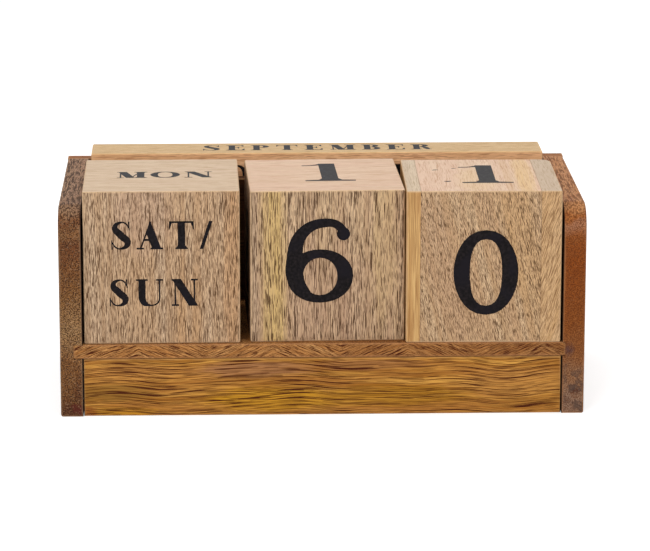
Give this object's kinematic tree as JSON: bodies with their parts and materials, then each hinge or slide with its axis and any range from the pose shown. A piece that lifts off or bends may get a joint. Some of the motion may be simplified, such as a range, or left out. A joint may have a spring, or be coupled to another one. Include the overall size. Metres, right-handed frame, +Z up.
{
  "type": "perpetual desk calendar",
  "caption": "Wooden perpetual desk calendar: turning cubes for weekday and date stand on a shelf between two end panels, with month bars stacked in a slot behind them.",
  "frame": {"origin": "middle of the footprint, on the desk plane", "axes": "+X to the reader's right, along the calendar's length; the front faces -Y; +Z up"},
  "size_m": [0.203, 0.1024, 0.0887],
  "materials": {
    "end_panel_wood": "matte",
    "rail_wood": "matte",
    "shelf_wood": "matte",
    "divider_wood": "matte",
    "back_board_wood": "matte",
    "cube_wood": "matte",
    "month_bar_wood": "matte",
    "brad_steel": "satin"
  },
  "bodies": {
    "tray": {"left_end_panel": "end_panel_wood", "right_end_panel": "end_panel_wood", "front_rail": "rail_wood", "shelf": "shelf_wood", "divider": "divider_wood", "back_board": "back_board_wood", "rail_brads": "brad_steel", "shelf_brads": "brad_steel", "divider_brads": "brad_steel", "back_board_brads": "brad_steel"},
    "weekday_cube": {"weekday_cube_core": "cube_wood", "weekday_cube_front_layer": "cube_wood"},
    "left_number_cube": {"left_number_cube_core": "cube_wood", "left_number_cube_front_layer": "cube_wood"},
    "right_number_cube": {"right_number_cube_core": "cube_wood", "right_number_cube_left_layer": "cube_wood", "right_number_cube_right_layer": "cube_wood"},
    "bottom_month_bar": {"bottom_month_bar": "month_bar_wood"},
    "middle_month_bar": {"middle_month_bar": "month_bar_wood"},
    "top_month_bar": {"top_month_bar": "month_bar_wood"}
  },
  "joints": [
    {"name": "weekday_cube_lift", "type": "slide", "parent": "tray", "child": "weekday_cube", "axis": [0, 0, 1], "range_m": [0, 0.0602]},
    {"name": "left_number_cube_lift", "type": "slide", "parent": "tray", "child": "left_number_cube", "axis": [0, 0, 1], "range_m": [0, 0.0602]},
    {"name": "right_number_cube_lift", "type": "slide", "parent": "tray", "child": "right_number_cube", "axis": [0, 0, 1], "range_m": [0, 0.0602]},
    {"name": "bottom_month_bar_lift", "type": "slide", "parent": "tray", "child": "bottom_month_bar", "axis": [0, 0, 1], "range_m": [0, 0.0558]},
    {"name": "middle_month_bar_lift", "type": "slide", "parent": "bottom_month_bar", "child": "middle_month_bar", "axis": [0, 0, 1], "range_m": [0, 0.0358]},
    {"name": "top_month_bar_lift", "type": "slide", "parent": "middle_month_bar", "child": "top_month_bar", "axis": [0, 0, 1], "range_m": [0, 0.0158]}
  ]
}
